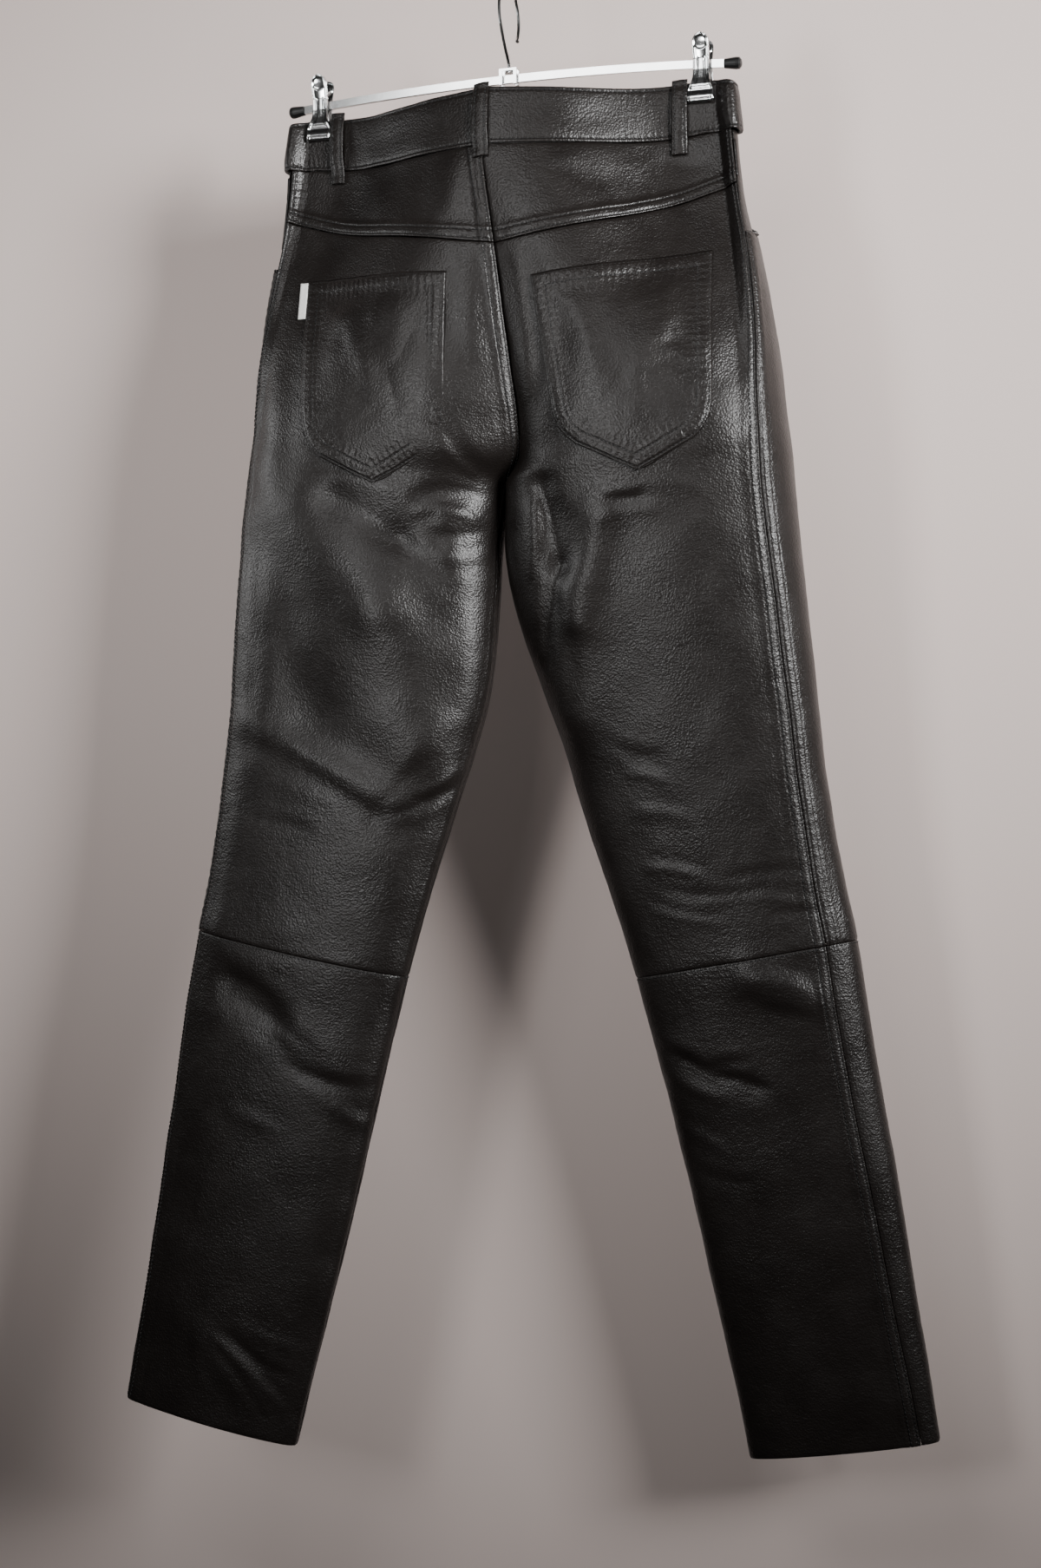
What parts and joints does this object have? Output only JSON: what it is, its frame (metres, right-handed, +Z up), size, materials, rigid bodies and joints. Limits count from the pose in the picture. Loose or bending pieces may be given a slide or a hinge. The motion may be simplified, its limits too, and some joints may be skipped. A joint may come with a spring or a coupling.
{
  "type": "leather trousers on a clip hanger",
  "caption": "Black leather five-pocket trousers with a back yoke and knee seams, hanging by the waistband from a chromed clip hanger.",
  "frame": {"origin": "highest point inside the hanger's hook, where a rail carries it", "axes": "+Z up; -Y the side that shows the back of the trousers; +X to the right of a viewer who looks at that side, which is the wearer's right"},
  "size_m": [0.629, 0.1219, 1.1281],
  "materials": {
    "leather": "smooth semi-gloss black leather with a fine pebble grain",
    "chrome": "bright chromed steel",
    "rubber": "satin black rubber",
    "button_metal": "dark plated steel",
    "tape": "bare white woven tape"
  },
  "bodies": {
    "root": {"yoke_left": "leather", "yoke_right": "leather", "back_upper_left": "leather", "back_upper_right": "leather", "front_upper_left": "leather", "front_upper_right": "leather", "back_lower_left": "leather", "back_lower_right": "leather", "front_lower_left": "leather", "front_lower_right": "leather", "pocket_facing_left": "leather", "pocket_facing_right": "leather", "waistband_left": "leather", "waistband_right": "leather", "back_pocket_left": "leather", "back_pocket_right": "leather", "belt_loop_back": "leather", "belt_loop_back_left": "leather", "belt_loop_back_right": "leather", "belt_loop_front_left": "leather", "belt_loop_front_right": "leather", "waist_button": "button_metal", "pocket_tab": "tape", "hanger_bar": "chrome", "hook_bracket": "chrome", "hook": "chrome", "clip_left_plate_back": "chrome", "clip_left_plate_front": "chrome", "clip_right_plate_back": "chrome", "clip_right_plate_front": "chrome", "clip_left_spring": "chrome", "clip_right_spring": "chrome", "end_cap_left": "rubber", "end_cap_right": "rubber", "clip_left_pad_back": "rubber", "clip_left_pad_front": "rubber", "clip_right_pad_back": "rubber", "clip_right_pad_front": "rubber"}
  },
  "joints": []
}
